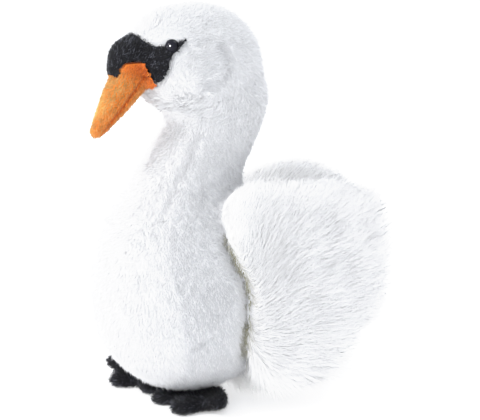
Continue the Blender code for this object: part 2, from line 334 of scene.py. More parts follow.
class Tree:
    """A Geometry Nodes tree, written one call per node."""

    def __init__(self, name, inputs):
        self.tree = bpy.data.node_groups.new(name, "GeometryNodeTree")
        face = self.tree.interface
        face.new_socket("Mesh", in_out="INPUT", socket_type="NodeSocketGeometry")
        face.new_socket("Mesh", in_out="OUTPUT", socket_type="NodeSocketGeometry")
        for label in inputs:
            kind = "NodeSocket" + OTHER_KINDS.get(label, "Float")
            face.new_socket(label, in_out="INPUT", socket_type=kind)
        self.given = self.tree.nodes.new("NodeGroupInput").outputs

    def add(self, kind, sockets=(), **settings):
        return new_node(self.tree, kind, sockets, settings)

    def out(self, kind, sockets=(), **settings):
        return first_output(self.add(kind, sockets, **settings))

    def maths(self, operation, *values):
        return self.out("ShaderNodeMath", dict(enumerate(values)), operation=operation)

    def plus(self, first, second):
        return self.maths("ADD", first, second)

    def times(self, first, second):
        return self.maths("MULTIPLY", first, second)

    def vector(self, operation, *values):
        return self.out("ShaderNodeVectorMath", dict(enumerate(values)), operation=operation)

    def joined(self, *values):
        """A vector of these, with nothing for what isn't given."""
        return self.out("ShaderNodeCombineXYZ", dict(enumerate(values)))

    def scaled(self, vector, factor):
        return self.out("ShaderNodeVectorMath", {"Vector": vector, "Scale": factor}, operation="SCALE")

    def random(self, low, high, seed, salt, group=None):
        """A random value of each point, or of each group of points where a group is given."""
        sockets = {"Min": low, "Max": high, "Seed": self.plus(seed, float(salt))}
        if group is not None:
            sockets["ID"] = group
        kind = VECTOR if isinstance(low, tuple) else "FLOAT"
        return self.out("FunctionNodeRandomValue", sockets, data_type=kind)

    def named(self, name, kind="FLOAT"):
        return self.out("GeometryNodeInputNamedAttribute", {"Name": name}, data_type=kind)

    def store(self, geometry, name, value, kind="FLOAT", domain="POINT"):
        sockets = {"Geometry": geometry, "Name": name, "Value": value}
        return self.out("GeometryNodeStoreNamedAttribute", sockets, data_type=kind, domain=domain)

    def finish(self, geometry):
        self.tree.links.new(geometry, self.tree.nodes.new("NodeGroupOutput").inputs[0])
        return self.tree


def coat_tree():
    """Tapering tufts over a skin, combed along its flow, drawn together in clumps and made real."""
    t = Tree("combed_pile", COAT_INPUTS)
    g = t.given
    spacing, seed = g["Spacing"], g["Seed"]
    shown = t.maths("GREATER_THAN", t.named("cover"), 0.5)
    skin = t.out("GeometryNodeSeparateGeometry", {"Geometry": g["Mesh"], "Selection": shown}, domain="FACE")

    def spread(distance, salt):
        crowd = t.maths("DIVIDE", 2.2, t.times(distance, distance))
        draw = t.plus(seed, float(salt))
        sockets = {"Mesh": skin, "Distance Min": distance, "Density Max": crowd, "Seed": draw}
        return t.add("GeometryNodeDistributePointsOnFaces", sockets, distribute_method="POISSON")

    roots = spread(spacing, 0)
    clumps = spread(g["Clump spacing"], 7)
    normal = roots.outputs["Normal"]
    points = t.store(roots.outputs["Points"], "root_uv", t.named("OFBake", VECTOR), VECTOR)
    here = t.out("GeometryNodeInputPosition")
    centres = clumps.outputs["Points"]
    nearest = t.out("GeometryNodeSampleNearest", {"Geometry": centres}, domain="POINT")
    asked = {"Geometry": centres, "Value": here, "Index": nearest}
    middle = t.out("GeometryNodeSampleIndex", asked, data_type=VECTOR, domain="POINT")
    wander = t.random((-1.0, -1.0, -1.0), (1.0, 1.0, 1.0), seed, 1)
    pile = t.times(t.named("pile"), t.random(0.6, 1.2, seed, 2))
    length = t.times(g["Length"], pile)
    gather = t.times(g["Clump"], t.random(0.3, 1.4, seed, 8, nearest))
    inward = t.scaled(t.vector("SUBTRACT", middle, here), gather)
    bend = t.vector("ADD", inward, t.scaled(wander, t.times(length, g["Curl"])))
    points = t.store(points, "bend", bend, VECTOR)
    tone = t.plus(t.random(0.0, 0.6, seed, 9), t.random(0.0, 0.4, seed, 10, nearest))
    points = t.store(points, "tone", tone)
    points = t.store(points, "skin_normal", normal, VECTOR)

    def ruffled(salt):
        """Smooth patches between minus and plus one."""
        place = t.vector("ADD", here, (0.37 * salt, 0.0, 0.0))
        noise = t.add("ShaderNodeTexNoise", {"Vector": place, "Scale": g["Ruffle scale"], "Detail": 1.0})
        return t.times(t.maths("SUBTRACT", noise.outputs[0], 0.5), 4.0)

    swing = t.times(t.random(-1.0, 1.0, seed, 3), g["Turn spread"])
    turn = t.plus(swing, t.times(ruffled(1), g["Ruffle"]))
    turned = {"Vector": t.named("flow", VECTOR), "Axis": normal, "Angle": turn}
    flow = t.out("ShaderNodeVectorRotate", turned, rotation_type="AXIS_ANGLE")
    lift = t.times(t.random(-1.0, 1.0, seed, 4), g["Rise spread"])
    rise = t.plus(t.plus(g["Rise"], lift), t.times(ruffled(2), g["Ruffle"]))
    rise = t.maths("MAXIMUM", rise, 0.05)
    level, upright = t.scaled(flow, t.maths("COSINE", rise)), t.scaled(normal, t.maths("SINE", rise))
    lie = t.vector("NORMALIZE", t.vector("ADD", level, upright))
    axes = {"Primary Axis": lie, "Secondary Axis": normal}
    aim = t.out("FunctionNodeAxesToRotation", axes, primary_axis="Z", secondary_axis="X")
    breadth = t.times(g["Width"], t.random(0.75, 1.25, seed, 5))
    size = t.joined(t.times(breadth, g["Flatness"]), breadth, length)

    # One tuft of unit length: a three-sided spike, full in its lower half, that ends in a point.
    cone = t.out(
        "GeometryNodeMeshCone",
        {"Vertices": 3, "Side Segments": g["Segments"], "Radius Top": 0.0, "Radius Bottom": 0.5, "Depth": 1.0},
        fill_type="NGON",
    )
    place = t.out("GeometryNodeInputPosition")
    axes = t.add("ShaderNodeSeparateXYZ", {"Vector": place})
    along = axes.outputs["Z"]
    cone = t.store(cone, "along", along)
    fuller = t.plus(1.0, t.times(along, 0.9))
    shaped = t.vector("MULTIPLY", place, t.joined(fuller, fuller, 1.0))
    cone = t.out("GeometryNodeSetPosition", {"Geometry": cone, "Position": shaped})
    tuft_u = t.plus(axes.outputs["Y"], 0.5)
    tuft_v = t.plus(along, t.times(axes.outputs["X"], 0.12))
    cone = t.store(cone, "tuft_uv", t.scaled(t.joined(tuft_u, tuft_v), PATCH), VECTOR)

    planted = {"Points": points, "Instance": cone, "Rotation": aim, "Scale": size}
    made = t.out("GeometryNodeInstanceOnPoints", planted)
    made = t.out("GeometryNodeRealizeInstances", {"Geometry": made})
    reach = t.named("along")
    offset = t.scaled(t.named("bend", VECTOR), t.times(reach, reach))
    made = t.out("GeometryNodeSetPosition", {"Geometry": made, "Offset": offset})
    now = t.add("ShaderNodeSeparateXYZ", {"Vector": t.out("GeometryNodeInputPosition")})
    height = t.maths("MAXIMUM", now.outputs["Z"], g["Floor"])
    resting = t.joined(now.outputs["X"], now.outputs["Y"], height)
    made = t.out("GeometryNodeSetPosition", {"Geometry": made, "Position": resting})
    own, skins = t.out("GeometryNodeInputNormal"), t.named("skin_normal", VECTOR)
    softened = t.out("ShaderNodeMix", {"Factor": g["Softness"], "A": own, "B": skins}, data_type="VECTOR")
    softened = t.vector("NORMALIZE", softened)
    place_on_map = t.vector("ADD", t.named("root_uv", VECTOR), t.named("tuft_uv", VECTOR))
    made = t.store(made, "OFBake", place_on_map, "FLOAT2", "CORNER")
    made = t.out("GeometryNodeSetShadeSmooth", {"Geometry": made})
    made = t.out(
        "GeometryNodeSetMeshNormal", {"Mesh": made, "Custom Normal": softened}, mode="FREE", domain="POINT"
    )
    for spent in ("root_uv", "tuft_uv", "bend", "flow", "pile", "cover", "skin_normal"):
        made = t.out("GeometryNodeRemoveAttribute", {"Geometry": made, "Name": spent})
    made = t.out("GeometryNodeSetMaterial", {"Geometry": made, "Material": g["Finish"]})
    return t.finish(made)


def grown_coat(name, skin, cover, finish, values):
    """A coat piece that grows on the faces where cover is true, with these inputs of the tree."""
    tree = bpy.data.node_groups.get("combed_pile") or coat_tree()
    bed = linked(name, skin.data.copy())
    covering = bed.data.attributes.new("cover", "FLOAT", "FACE")
    covering.data.foreach_set("value", cover.astype(np.float32))
    grower = bed.modifiers.new("pile", "NODES")
    grower.node_group = tree
    given = {"Flatness": 0.6, "Floor": FLOOR_CLEARANCE, "Finish": finish, **values}
    for item in tree.interface.items_tree:
        if item.in_out == "INPUT" and item.name in given:
            grower[item.identifier] = given[item.name]
    coat = plain(bed)
    only_finish(coat.data, finish)
    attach(coat, "root")


# -------------------- materials
PAINTED_FOLD_SHADE = (0.26, 0.24, 0.13)  # painted shade: the dull olive darkening of the fold in front of the wings
PALE_PILE = (0.9, 0.9, 0.9)


def new_material(name, roughness, sheen=0.0, gloss=0.25):
    """A material and its shader, with these set on the shader itself."""
    material = bpy.data.materials.new(name)
    material.use_nodes = True
    shader = material.node_tree.nodes["Principled BSDF"]
    shader.inputs["Roughness"].default_value = roughness
    shader.inputs["Sheen Weight"].default_value = sheen
    shader.inputs["Sheen Roughness"].default_value = 0.5
    shader.inputs["Specular IOR Level"].default_value = gloss
    return material, shader


def shade(material, kind, sockets=(), **settings):
    return new_node(material.node_tree, kind, sockets, settings)


def ramp(material, value, start, end, low=0.0, high=1.0):
    """Low where the value is at start, high where it is at end."""
    sockets = {"Value": value, 1: start, 2: end, 3: low, 4: high}
    return shade(material, "ShaderNodeMapRange", sockets).outputs["Result"]


def cloudiness(material, scale, low, high):
    """Soft patches between two values, of a size of one over scale metres."""
    where = shade(material, "ShaderNodeTexCoord").outputs["Object"]
    noise = shade(material, "ShaderNodeTexNoise", {"Vector": where, "Scale": scale, "Detail": 2.0})
    return ramp(material, noise.outputs["Fac"], 0.3, 0.7, low, high)


def mixed(material, factor, first, second, blend="MIX"):
    """The colour between two colours, each a link or a plain one."""
    ends = [end if isinstance(end, bpy.types.NodeSocket) else (*end, 1.0) for end in (first, second)]
    sockets = dict(enumerate((factor, *ends)))
    return first_output(shade(material, "ShaderNodeMix", sockets, data_type="RGBA", blend_type=blend))


def grey(material, value):
    return shade(material, "ShaderNodeCombineColor", {0: value, 1: value, 2: value}).outputs[0]


def pile_material(
    name, root, tip, roughness, sheen, mottle, gloss=0.3, painted_glint=None, deep=PAINTED_FOLD_SHADE, pale=PALE_PILE
):
    """Pile that brightens from root to tip, with tufts and soft patches of slightly different tone.

    The darker roots are painted shade between the tufts. Tufts of a high tone take a painted highlight,
    a lighter colour standing in for light on the fibres. The attribute "deep" turns the colour towards
    deep where it is above zero, and towards pale where it is below: deep carries painted shade, and pale
    the side panel's cooler tone, partly painted shade, and on the bill a painted highlight along the ridge.
    """
    material, shader = new_material(name, roughness, sheen, gloss)
    along, tone, place = (
        shade(material, "ShaderNodeAttribute", attribute_name=given).outputs["Fac"]
        for given in ("along", "tone", "deep")
    )
    colour = mixed(material, ramp(material, along, 0.0, 0.6), root, tip)
    # A painted highlight on tufts of a high tone.
    if painted_glint:
        colour = mixed(material, ramp(material, tone, 0.45, 0.9), colour, painted_glint)
    for other, end in ((deep, 1.0), (pale, -1.0)):
        colour = mixed(material, ramp(material, place, 0.0, end), colour, other)
    patches = grey(material, ramp(material, tone, 0.0, 1.0, 1.0 - mottle * 2, 1.0))
    broad = grey(material, cloudiness(material, 45.0, 1.0 - mottle, 1.0))
    for tones in (patches, broad):
        colour = mixed(material, 1.0, colour, tones, "MULTIPLY")
    material.node_tree.links.new(colour, shader.inputs["Base Color"])
    return material


def backing_material(name, colour):
    """The knitted ground that the pile stands on."""
    material, shader = new_material(name, 0.95)
    patches = grey(material, cloudiness(material, 700.0, 0.86, 1.0))
    tinted = mixed(material, 1.0, colour, patches, "MULTIPLY")
    material.node_tree.links.new(tinted, shader.inputs["Base Color"])
    height = cloudiness(material, 1500.0, 0.0, 1.0)
    bump = shade(material, "ShaderNodeBump", {"Height": height, "Strength": 0.5, "Distance": 0.0006})
    material.node_tree.links.new(bump.outputs["Normal"], shader.inputs["Normal"])
    return material


def material_once(name, make, *values, **named):
    """The material of this name, made where it isn't there yet."""
    return bpy.data.materials.get(name) or make(name, *values, **named)


# -------------------- skins
def eye_middle(tag):
    low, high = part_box(f"eye_{tag}")
    return (low + high) / 2


def mirrored(line, side):
    """A line on the left, or its twin on the right."""
    return [(x * side, y, z) for x, y, z in line]


def neck_seam():
    """Where the front panel is sewn to the side panel, from under the jaw to the breast, on the left."""
    throat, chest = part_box("neck")[1].z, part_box("breast")[1].z
    return [
        (0.0250, -0.0440, throat + 0.0015),
        (0.0225, -0.0462, throat - 0.0116),
        (0.0238, -0.0529, throat - 0.0240),
        (0.0250, -0.0599, chest + 0.0082),
        (0.0275, -0.0669, chest - 0.0032),
        (0.0288, -0.0726, chest - 0.0118),
        (0.0309, -0.0772, chest - 0.0191),
    ]


def from_eye(*steps):
    """A line given by its steps from the middle of the left eye."""
    eye = eye_middle("left")
    return [(eye.x + x, eye.y + y, eye.z + z) for x, y, z in steps]


def cheek_crease():
    """The tuck behind and under the cheek, on the left."""
    return from_eye(
        (0.0108, 0.0272, -0.0020),
        (0.0135, 0.0299, -0.0100),
        (0.0146, 0.0307, -0.0165),
        (0.0160, 0.0270, -0.0222),
        (0.0174, 0.0206, -0.0246),
        (0.0172, 0.0152, -0.0254),
    )


def temple_crease():
    """A short tuck behind the eye, on the left."""
    return from_eye((0.0072, 0.0140, 0.0006), (0.0078, 0.0177, 0.0017), (0.0084, 0.0216, 0.0021))


def haunch_tuck():
    """The short slanting tuck low on the breast, on the left."""
    low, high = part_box("breast")
    return [(high.x - 0.0076, low.y + 0.0399, 0.0481), (high.x - 0.0025, low.y + 0.0505, 0.0549)]


def reach_from(points, co):
    """Distance from each place in co to the nearest of the points."""
    tree = KDTree(len(points))
    for index, point in enumerate(points):
        tree.insert(point, index)
    tree.balance()
    return np.array([tree.find(point)[2] for point in co])


def behind_front(at):
    """How far each point lies from breast and neck."""
    return reach_from(at.co[at.on("breast", "neck")], at.co)


def from_fold(at):
    """How far each point lies from the front edges of the wings."""
    edges = at.on(*WING_NODES) & (behind_front(at) < WING_BORDER)
    return reach_from(at.co[edges], at.co)


def fold_fading(co):
    """One along the fold in front of the wings, nothing above it at the shoulder."""
    low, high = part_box("wing_left")
    return smooth_step(low.z + 0.88 * (high.z - low.z), low.z + 0.70 * (high.z - low.z), co[:, 2])


def wing_crease(at):
    """Depth of the fold in the breast where each wing lies against it, fading out towards the shoulder."""
    wings = at.on(*WING_NODES)
    wide = np.where(wings, 1.2 * MM, 4.5 * MM)
    deep = np.where(wings, 1.5 * MM, 5.5 * MM)
    return deep * fold_fading(at.co) * np.exp(-((from_fold(at) / wide) ** 2))


def body_depth(at):
    """How deep the skin lies under each point of the outer form."""
    s = sizes()
    depth = np.full(len(at.co), s.short_depth)
    depth[at.on(*LONG_NODES)] = s.long_depth
    for nodes, deep in ((("mask",), 3.2), (BILL_NODES, 4.5), (EYE_NODES, 3.5)):
        depth[at.on(*nodes)] = deep * MM
    # A wing's own pile is short at its front, so the skin lies shallow there.
    shallow, grown_by = 1.2 * MM, 32 * MM
    deeper = smooth_step(0.0, grown_by, behind_front(at))
    wings = at.on(*WING_NODES)
    depth[wings] = (shallow + (s.long_depth - shallow) * deeper)[wings]
    return depth


def ease_throat(mesh):
    """Rounds the turn from jaw to neck."""
    co = points_of(mesh)
    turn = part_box("neck")[1].z - 4 * MM
    near = np.exp(-(((co[:, 2] - turn) / (12 * MM)) ** 2)) * smooth_step(-8 * MM, -30 * MM, co[:, 1])
    for _ in range(9):
        co = co + (evened(mesh, co, 6) - co) * near[:, None]
    move_points(mesh, co)


class SWAN_OT_body_skin(bpy.types.Operator):
    """Sews one stuffed skin for head, neck, breast, back, tail and wings."""

    bl_idname = "swan.body_skin"
    bl_label = "Body skin"

    def execute(self, context):
        s = sizes()
        around = Surroundings()
        skin = remeshed(joined_nodes("body_skin", CORE_NODES), s.cell, 4)
        depth = body_depth(Places(points_of(skin.data), around))
        drawn_in(skin, evened(skin.data, depth, 5), 7)
        skin = remeshed(skin, s.cell, 3)
        mesh = skin.data
        ease_throat(mesh)
        co, normals = points_of(mesh), normals_of(mesh)
        groove = wing_crease(Places(co, around))
        # Each groove's line, depth and width in millimetres.
        grooves = (
            (neck_seam(), 1.1, 2.2),
            (cheek_crease(), 2.1, 3.2),
            (temple_crease(), 1.2, 1.8),
            (haunch_tuck(), 1.2, 1.4),
        )
        for _, side in SIDES:
            for line, deep, wide in grooves:
                away = np.maximum(near_line(co, mirrored(line, side)) - s.short_depth, 0)
                groove = np.maximum(groove, deep * MM * np.exp(-((away / (wide * MM)) ** 2)))
        move_points(mesh, co - normals * groove[:, None])
        mesh.shade_smooth()
        unwrapped(skin)
        colour = tuple(0.5 * (a + b) for a, b in zip(colours().short_root, colours().short_tip))
        only_finish(mesh, material_once("white_backing", backing_material, colour))
        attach(skin, "root")
        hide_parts(*SHORT_NODES, *LONG_NODES)
        return {"FINISHED"}


def mouth_place(co):
    """Where each point of the bill is: how far along the mouth from root to tip, and how far off its plane."""
    low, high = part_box("bill_lower")
    root = np.array((high.y - 0.0089, high.z - 0.0018))
    tip = np.array((low.y + 0.0013, low.z + 0.0014))
    length = np.linalg.norm(tip - root)
    run = (tip - root) / length
    place = co[:, 1:] - root
    return place @ run / length, place @ np.array((run[1], -run[0]))


def small_skin(name, nodes, backing, cell, depth, smoothing=3, beads=()):
    """A fine skin inside one CAD node, or inside a few that touch, with round beads sewn in.

    Cell and depth are in millimetres. A bead is a place and a radius.
    """
    shell = joined_nodes(name, nodes)
    for place, radius in beads:
        form = bmesh.new()
        form.from_mesh(shell.data)
        bmesh.ops.create_icosphere(form, subdivisions=2, radius=radius, matrix=Matrix.Translation(place))
        form.to_mesh(shell.data)
        form.free()
    skin = remeshed(shell, cell * MM, smoothing)
    drawn_in(skin, np.full(len(skin.data.vertices), depth * MM), 3)
    skin.data.shade_smooth()
    unwrapped(skin)
    only_finish(skin.data, backing)
    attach(skin, "root")
    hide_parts(*nodes)
    return skin


class SWAN_OT_face_skins(bpy.types.Operator):
    """Sews the black mask and both halves of the orange bill."""

    bl_idname = "swan.face_skins"
    bl_label = "Mask and bill skins"

    def execute(self, context):
        black = material_once("black_backing", backing_material, colours().black)
        orange = material_once("orange_backing", backing_material, colours().orange_root)
        # A bead behind each eye fills the corner from which the mask's dark flick runs back.
        corners = [
            (eye_middle(tag) + Vector((0.0032 * side, 0.0026, 0.0006)), 2.6 * MM) for tag, side in SIDES
        ]
        small_skin(
            "mask_skin", ("mask",), black, cell=0.9, depth=0.8, smoothing=6, beads=corners
        )
        bill = small_skin("bill_skin", BILL_NODES, orange, cell=0.7, depth=0.6)
        co, normals = points_of(bill.data), normals_of(bill.data)
        _, off = mouth_place(co)
        mouth_depth, mouth_width = 1.6 * MM, 0.9 * MM
        move_points(bill.data, co - normals * (mouth_depth * np.exp(-((off / mouth_width) ** 2)))[:, None])
        return {"FINISHED"}


class SWAN_OT_feet(bpy.types.Operator):
    """Sews both webbed feet."""

    bl_idname = "swan.feet"
    bl_label = "Feet skins"

    def execute(self, context):
        black = material_once("black_backing", backing_material, colours().black)
        for tag, _ in SIDES:
            name = f"foot_{tag}"
            foot = small_skin(f"{name}_skin", (name,), black, cell=1.0, depth=0.4)
            if tag == "left":
                # The last 12 mm of its outer rear end are drawn in by about a third.
                outward = np.array((0.5, 0.866, 0.0))
                co = points_of(foot.data)
                reach = co @ outward
                spare = np.maximum(reach - (reach.max() - 12 * MM), 0.0)
                move_points(foot.data, co - 0.36 * spare[:, None] * outward)
        return {"FINISHED"}


class SWAN_OT_eyes(bpy.types.Operator):
    """Sets the two glossy button eyes."""

    bl_idname = "swan.eyes"
    bl_label = "Eyes"

    def execute(self, context):
        gloss, shader = new_material("button_gloss", 0.03, gloss=0.1)
        shader.inputs["Base Color"].default_value = (0.002, 0.002, 0.003, 1.0)
        for tag, side in SIDES:
            low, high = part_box(f"eye_{tag}")
            radius = 0.48 * (high.z - low.z)
            sunk = Vector((-0.0005 * side, -0.0013, -0.0013))
            ball = bmesh.new()
            bmesh.ops.create_uvsphere(ball, u_segments=48, v_segments=24, radius=radius)
            bmesh.ops.translate(ball, verts=ball.verts, vec=eye_middle(tag) + sunk)
            eye = built(f"eye_{tag}_button", ball)
            eye.data.shade_smooth()
            eye.data.materials.append(gloss)
            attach(eye, "root")
            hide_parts(f"eye_{tag}")
        return {"FINISHED"}


# -------------------- coats
# What the coats of each fabric share: lengths in metres, spreads and ruffle in radians.
SHORT_PILE = {
    "Spacing": 0.95 * MM, "Width": 0.8 * MM, "Rise spread": 0.25, "Turn spread": 0.55, "Curl": 0.16,
    "Ruffle": 0.24, "Ruffle scale": 190.0, "Clump spacing": 2.4 * MM, "Clump": 0.5,
    "Softness": 0.55, "Segments": 2,
}
LONG_PILE = {
    "Spacing": 0.9 * MM, "Width": 0.42 * MM, "Rise spread": 0.24, "Turn spread": 0.3, "Curl": 0.16,
    "Ruffle": 0.34, "Ruffle scale": 48.0, "Clump spacing": 4.8 * MM, "Clump": 0.24,
    "Softness": 0.6, "Segments": 3,
}
FINE_PILE = {
    "Rise spread": 0.35, "Turn spread": 0.6, "Curl": 0.12, "Ruffle": 0.2, "Ruffle scale": 70.0,
    "Clump spacing": 2.0 * MM, "Clump": 0.4, "Softness": 0.5, "Segments": 2,
}


def unit(vectors):
    """The vectors, each of length one."""
    return vectors / np.maximum(np.linalg.norm(vectors, axis=1), 1e-9)[:, None]


def along_surface(vectors, normals):
    """Directions laid flat on the surface."""
    return unit(vectors - (vectors * normals).sum(1)[:, None] * normals)


def body_flow(at):
    """Which way the pile lies: down, where nothing else is said."""
    co = at.co
    flow = np.tile(np.array((0.0, 0.05, -1.0)), (len(co), 1))
    # Over the head it turns about a level axle through the skull, and leans back and down.
    low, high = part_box("head")
    middle = np.array(((low.x + high.x) / 2, (low.y + high.y) / 2, low.z + 0.55 * (high.z - low.z)))
    mine = at.on("head")
    turned = np.cross(co - middle, (1.0, 0.0, 0.0)) / (30 * MM) + np.array((0.0, 0.5, -0.45))
    flow[mine] = turned[mine]
    # Under the breast it runs back.
    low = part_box("breast")[0]
    under = smooth_step(low.z + 35 * MM, low.z, co[:, 2])
    mine = at.on("breast")
    flow[mine] += (under[:, None] * np.array((0.0, 1.5, 0.0)))[mine]
    flow[at.on("back")] = (0.0, 0.75, -0.5)
    flow[at.on("tail")] = (0.0, 1.0, 0.2)
    # On each wing it fans out from a place low at the front, and a little away from the body.
    for tag, side in SIDES:
        low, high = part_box(f"wing_{tag}")
        length, height = high.y - low.y, high.z - low.z
        centre = np.array(((low.x + high.x) / 2, low.y - 0.02 * length, low.z + 0.26 * height))
        mine = at.on(f"wing_{tag}")
        away = co - centre
        away[:, 0] = side * 6 * MM
        flow[mine] = unit(away)[mine]
    return flow


def body_pile(at):
    """Pile length at each point, against that of its fabric."""
    co = at.co
    pile = np.ones(len(co))
    short = at.on(*SHORT_NODES, "mask", *BILL_NODES)
    for tag, _ in SIDES:
        # Trimmed round the eyes.
        near = smooth_step(16 * MM, 5 * MM, np.linalg.norm(co - np.array(eye_middle(tag)), axis=1))
        pile[short] *= (1.0 - 0.45 * near)[short]
        # Short at a wing's front and top, full at its rear and along its foot.
        low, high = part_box(f"wing_{tag}")
        mine = at.on(f"wing_{tag}")
        back = smooth_step(low.y, low.y + 45 * MM, co[:, 1])
        height = (co[:, 2] - low.z) / (high.z - low.z)
        top, foot = smooth_step(0.72, 0.95, height), smooth_step(0.35, 0.15, height)
        pile[mine] = (np.maximum(0.36 + 0.64 * back, 1.15 * foot) * (1.0 - 0.4 * top))[mine]
    pile[at.on("tail")] = 0.8
    return pile


# The seam from foot to jaw: height above the breast's underside, and way back from its front.
SIDE_SEAM = (
    (0.0308, 0.0384), (0.0421, 0.0349), (0.0592, 0.0323), (0.0750, 0.0305), (0.0900, 0.0282),
    (0.1046, 0.0295), (0.1186, 0.0341), (0.1290, 0.0396), (0.1374, 0.0442), (0.1500, 0.0496),
    (0.1610, 0.0564), (0.1704, 0.0625), (0.1788, 0.0636),
)


def side_panel_and_shade(co):
    """How fully each point takes the cooler, darker tone behind the seam from jaw to foot, partly the side
    panel's own tone and partly painted shade on the side turned from the key light, and how much painted
    shade each cheek takes.
    """
    low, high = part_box("breast")
    up, back = zip(*SIDE_SEAM)
    seam = low.y + np.interp(co[:, 2] - low.z, up, back)
    behind = smooth_step(-2.5 * MM, 2.5 * MM, co[:, 1] - seam)
    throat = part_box("head")[0].z
    strength = 0.4 + 0.6 * smooth_step(throat, high.z - 20 * MM, co[:, 2])
    strength *= smooth_step(throat + 75 * MM, throat + 50 * MM, co[:, 2])
    folded = np.column_stack((np.abs(co[:, 0]), co[:, 1:]))
    from_cheek = np.linalg.norm(folded - (0.036, low.y + 0.0615, throat + 0.0435), axis=1)
    # Painted shade on each cheek.
    cheek = 0.6 * np.exp(-((from_cheek / (17 * MM)) ** 2))
    return np.maximum(behind * strength, cheek)


def painted_fold_shade(at):
    """How much painted shade, the dull olive darkening of the fold, each point in front of a wing has."""
    near = np.exp(-((from_fold(at) / (7.0 * MM)) ** 2))
    return near * fold_fading(at.co) * ~at.on(*WING_NODES)


class SWAN_OT_white_coats(bpy.types.Operator):
    """Grows the short pile of head, neck and breast and the long pile of wings, back and tail."""

    bl_idname = "swan.white_coats"
    bl_label = "White coats"

    def execute(self, context):
        s, c = sizes(), colours()
        skin = bpy.data.objects["body_skin"]
        mesh = skin.data
        normals = normals_of(mesh)
        around = Surroundings()
        at = Places(points_of(mesh), around)
        flow = evened(mesh, along_surface(body_flow(at), normals), 12)
        set_attribute(mesh, "flow", along_surface(flow, normals))
        set_attribute(mesh, "pile", evened(mesh, body_pile(at), 6))
        # Painted shade: the fold in front of the wings is darkened towards dull olive.
        fold = painted_fold_shade(at)
        # Behind the seam and on the cheeks the pile turns cooler and darker: partly the side panel's own tone,
        # partly painted shade.
        cooler = side_panel_and_shade(at.co) * at.on(*SHORT_NODES)
        set_attribute(mesh, "deep", fold - cooler * (1.0 - fold) * (fold < 0.5))
        middles, facing = faces_of(mesh)
        faces = Places(middles, around)
        # No pile grows where the skin faces itself across a fold, or lies under another skin.
        bare = covered(middles, facing, tree_of(skin), 4.0 * MM, start=0.8 * MM)
        for name, reach in (("mask", 6), ("bill", 6), ("foot_left", 1.5), ("foot_right", 1.5)):
            bare |= covered(middles, facing, tree_of(bpy.data.objects[f"{name}_skin"]), reach * MM)

        def region(name, keep=True):
            return faces.on(name) & ~bare & keep

        look = {"roughness": 0.85, "sheen": 0.5, "mottle": 0.06, "pale": c.side_panel_and_shade}
        short = material_once("short_pile", pile_material, c.short_root, c.short_tip, **look)
        look = {"roughness": 0.8, "sheen": 0.5, "mottle": 0.012}
        long = material_once("long_pile", pile_material, c.long_root, c.long_tip, **look)

        def short_coat(name, part, seed):
            values = {**SHORT_PILE, "Length": s.short_pile, "Rise": s.short_rise, "Seed": seed}
            grown_coat(f"coat_{name}", skin, part, short, values)

        def long_coat(name, part, seed, **changed):
            values = {**LONG_PILE, "Length": s.long_pile, "Rise": s.long_rise, "Seed": seed, **changed}
            grown_coat(f"coat_{name}", skin, part, long, values)

        short_coat("head", region("head"), 1)
        short_coat("neck", region("neck"), 2)
        left = middles[:, 0] > 0
        for seed, (tag, here) in enumerate((("left", left), ("right", ~left)), 3):
            short_coat(f"breast_{tag}", region("breast", here), seed)
            long_coat(f"back_{tag}", region("back", here), seed + 10, Spacing=1.05 * MM)
            node = f"wing_{tag}"
            low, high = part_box(node)
            front = middles[:, 1] < low.y + 0.45 * (high.y - low.y)
            finer = {"Spacing": 0.65 * MM, "Width": 0.33 * MM} if tag == "left" else {}
            for step, (end, half) in enumerate((("front", front), ("rear", ~front))):
                long_coat(f"{node}_{end}", region(node, half), seed + 20 + 10 * step, **finer)
        long_coat("tail", region("tail"), 9)
        return {"FINISHED"}


def bill_painted_light(co):
    """Painted shade in deep red-orange along the mouth and at the root, and a painted highlight, paler, along
    the ridge.
    """
    along, off = mouth_place(co)
    mouth = np.exp(-((off / (1.3 * MM)) ** 2)) * smooth_step(0.98, 0.7, along)
    base = 0.75 * smooth_step(0.22, -0.05, along)
    ridge = smooth_step(4.0 * MM, 9.0 * MM, np.abs(off)) * smooth_step(0.1, 0.3, along)
    return np.clip(np.maximum(mouth, base) - 0.8 * ridge, -1, 1)


